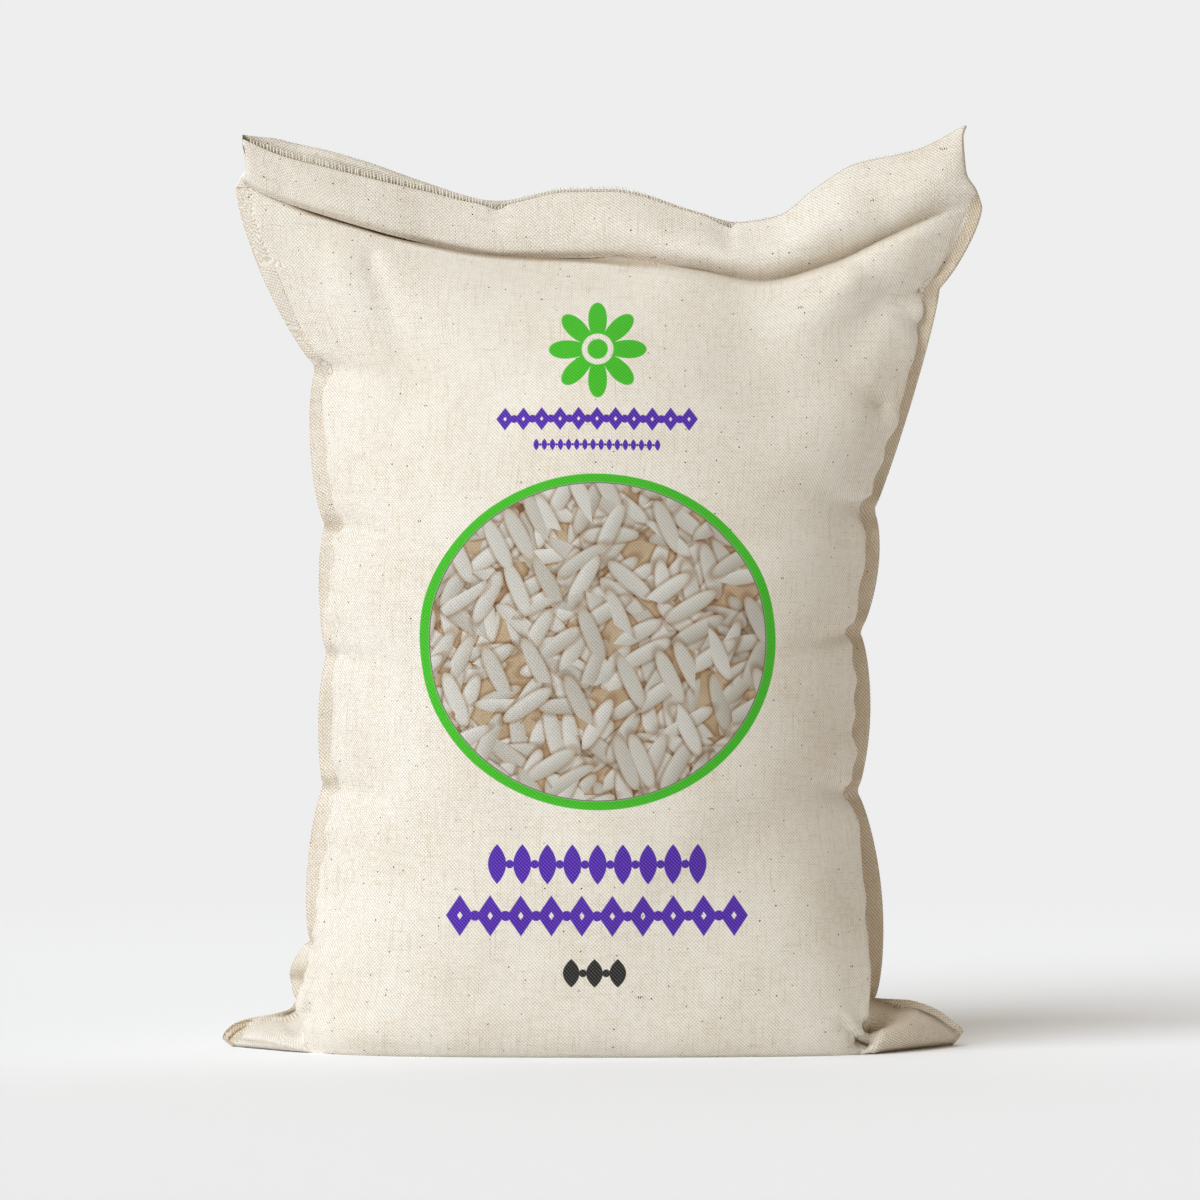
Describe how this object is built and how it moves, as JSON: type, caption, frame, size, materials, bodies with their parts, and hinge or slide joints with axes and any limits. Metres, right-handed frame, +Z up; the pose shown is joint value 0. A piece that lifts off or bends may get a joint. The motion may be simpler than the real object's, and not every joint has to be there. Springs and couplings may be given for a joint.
{
  "type": "bag of rice",
  "caption": "Filled cloth sack of rice that stands on its base, with sewn side flanges, bottom corners lying on the floor and a flat closed band across the top.",
  "frame": {"origin": "centre of the bounding box at its bottom, on the floor under the sack", "axes": "+Z up, +X to the right of someone who looks at the printed front, +Y towards the back of the sack, and the front faces -Y"},
  "size_m": [0.3038, 0.1382, 0.3682],
  "materials": {
    "bag": "matt unbleached cotton twill"
  },
  "bodies": {
    "root": {"bag": "bag"}
  },
  "joints": []
}
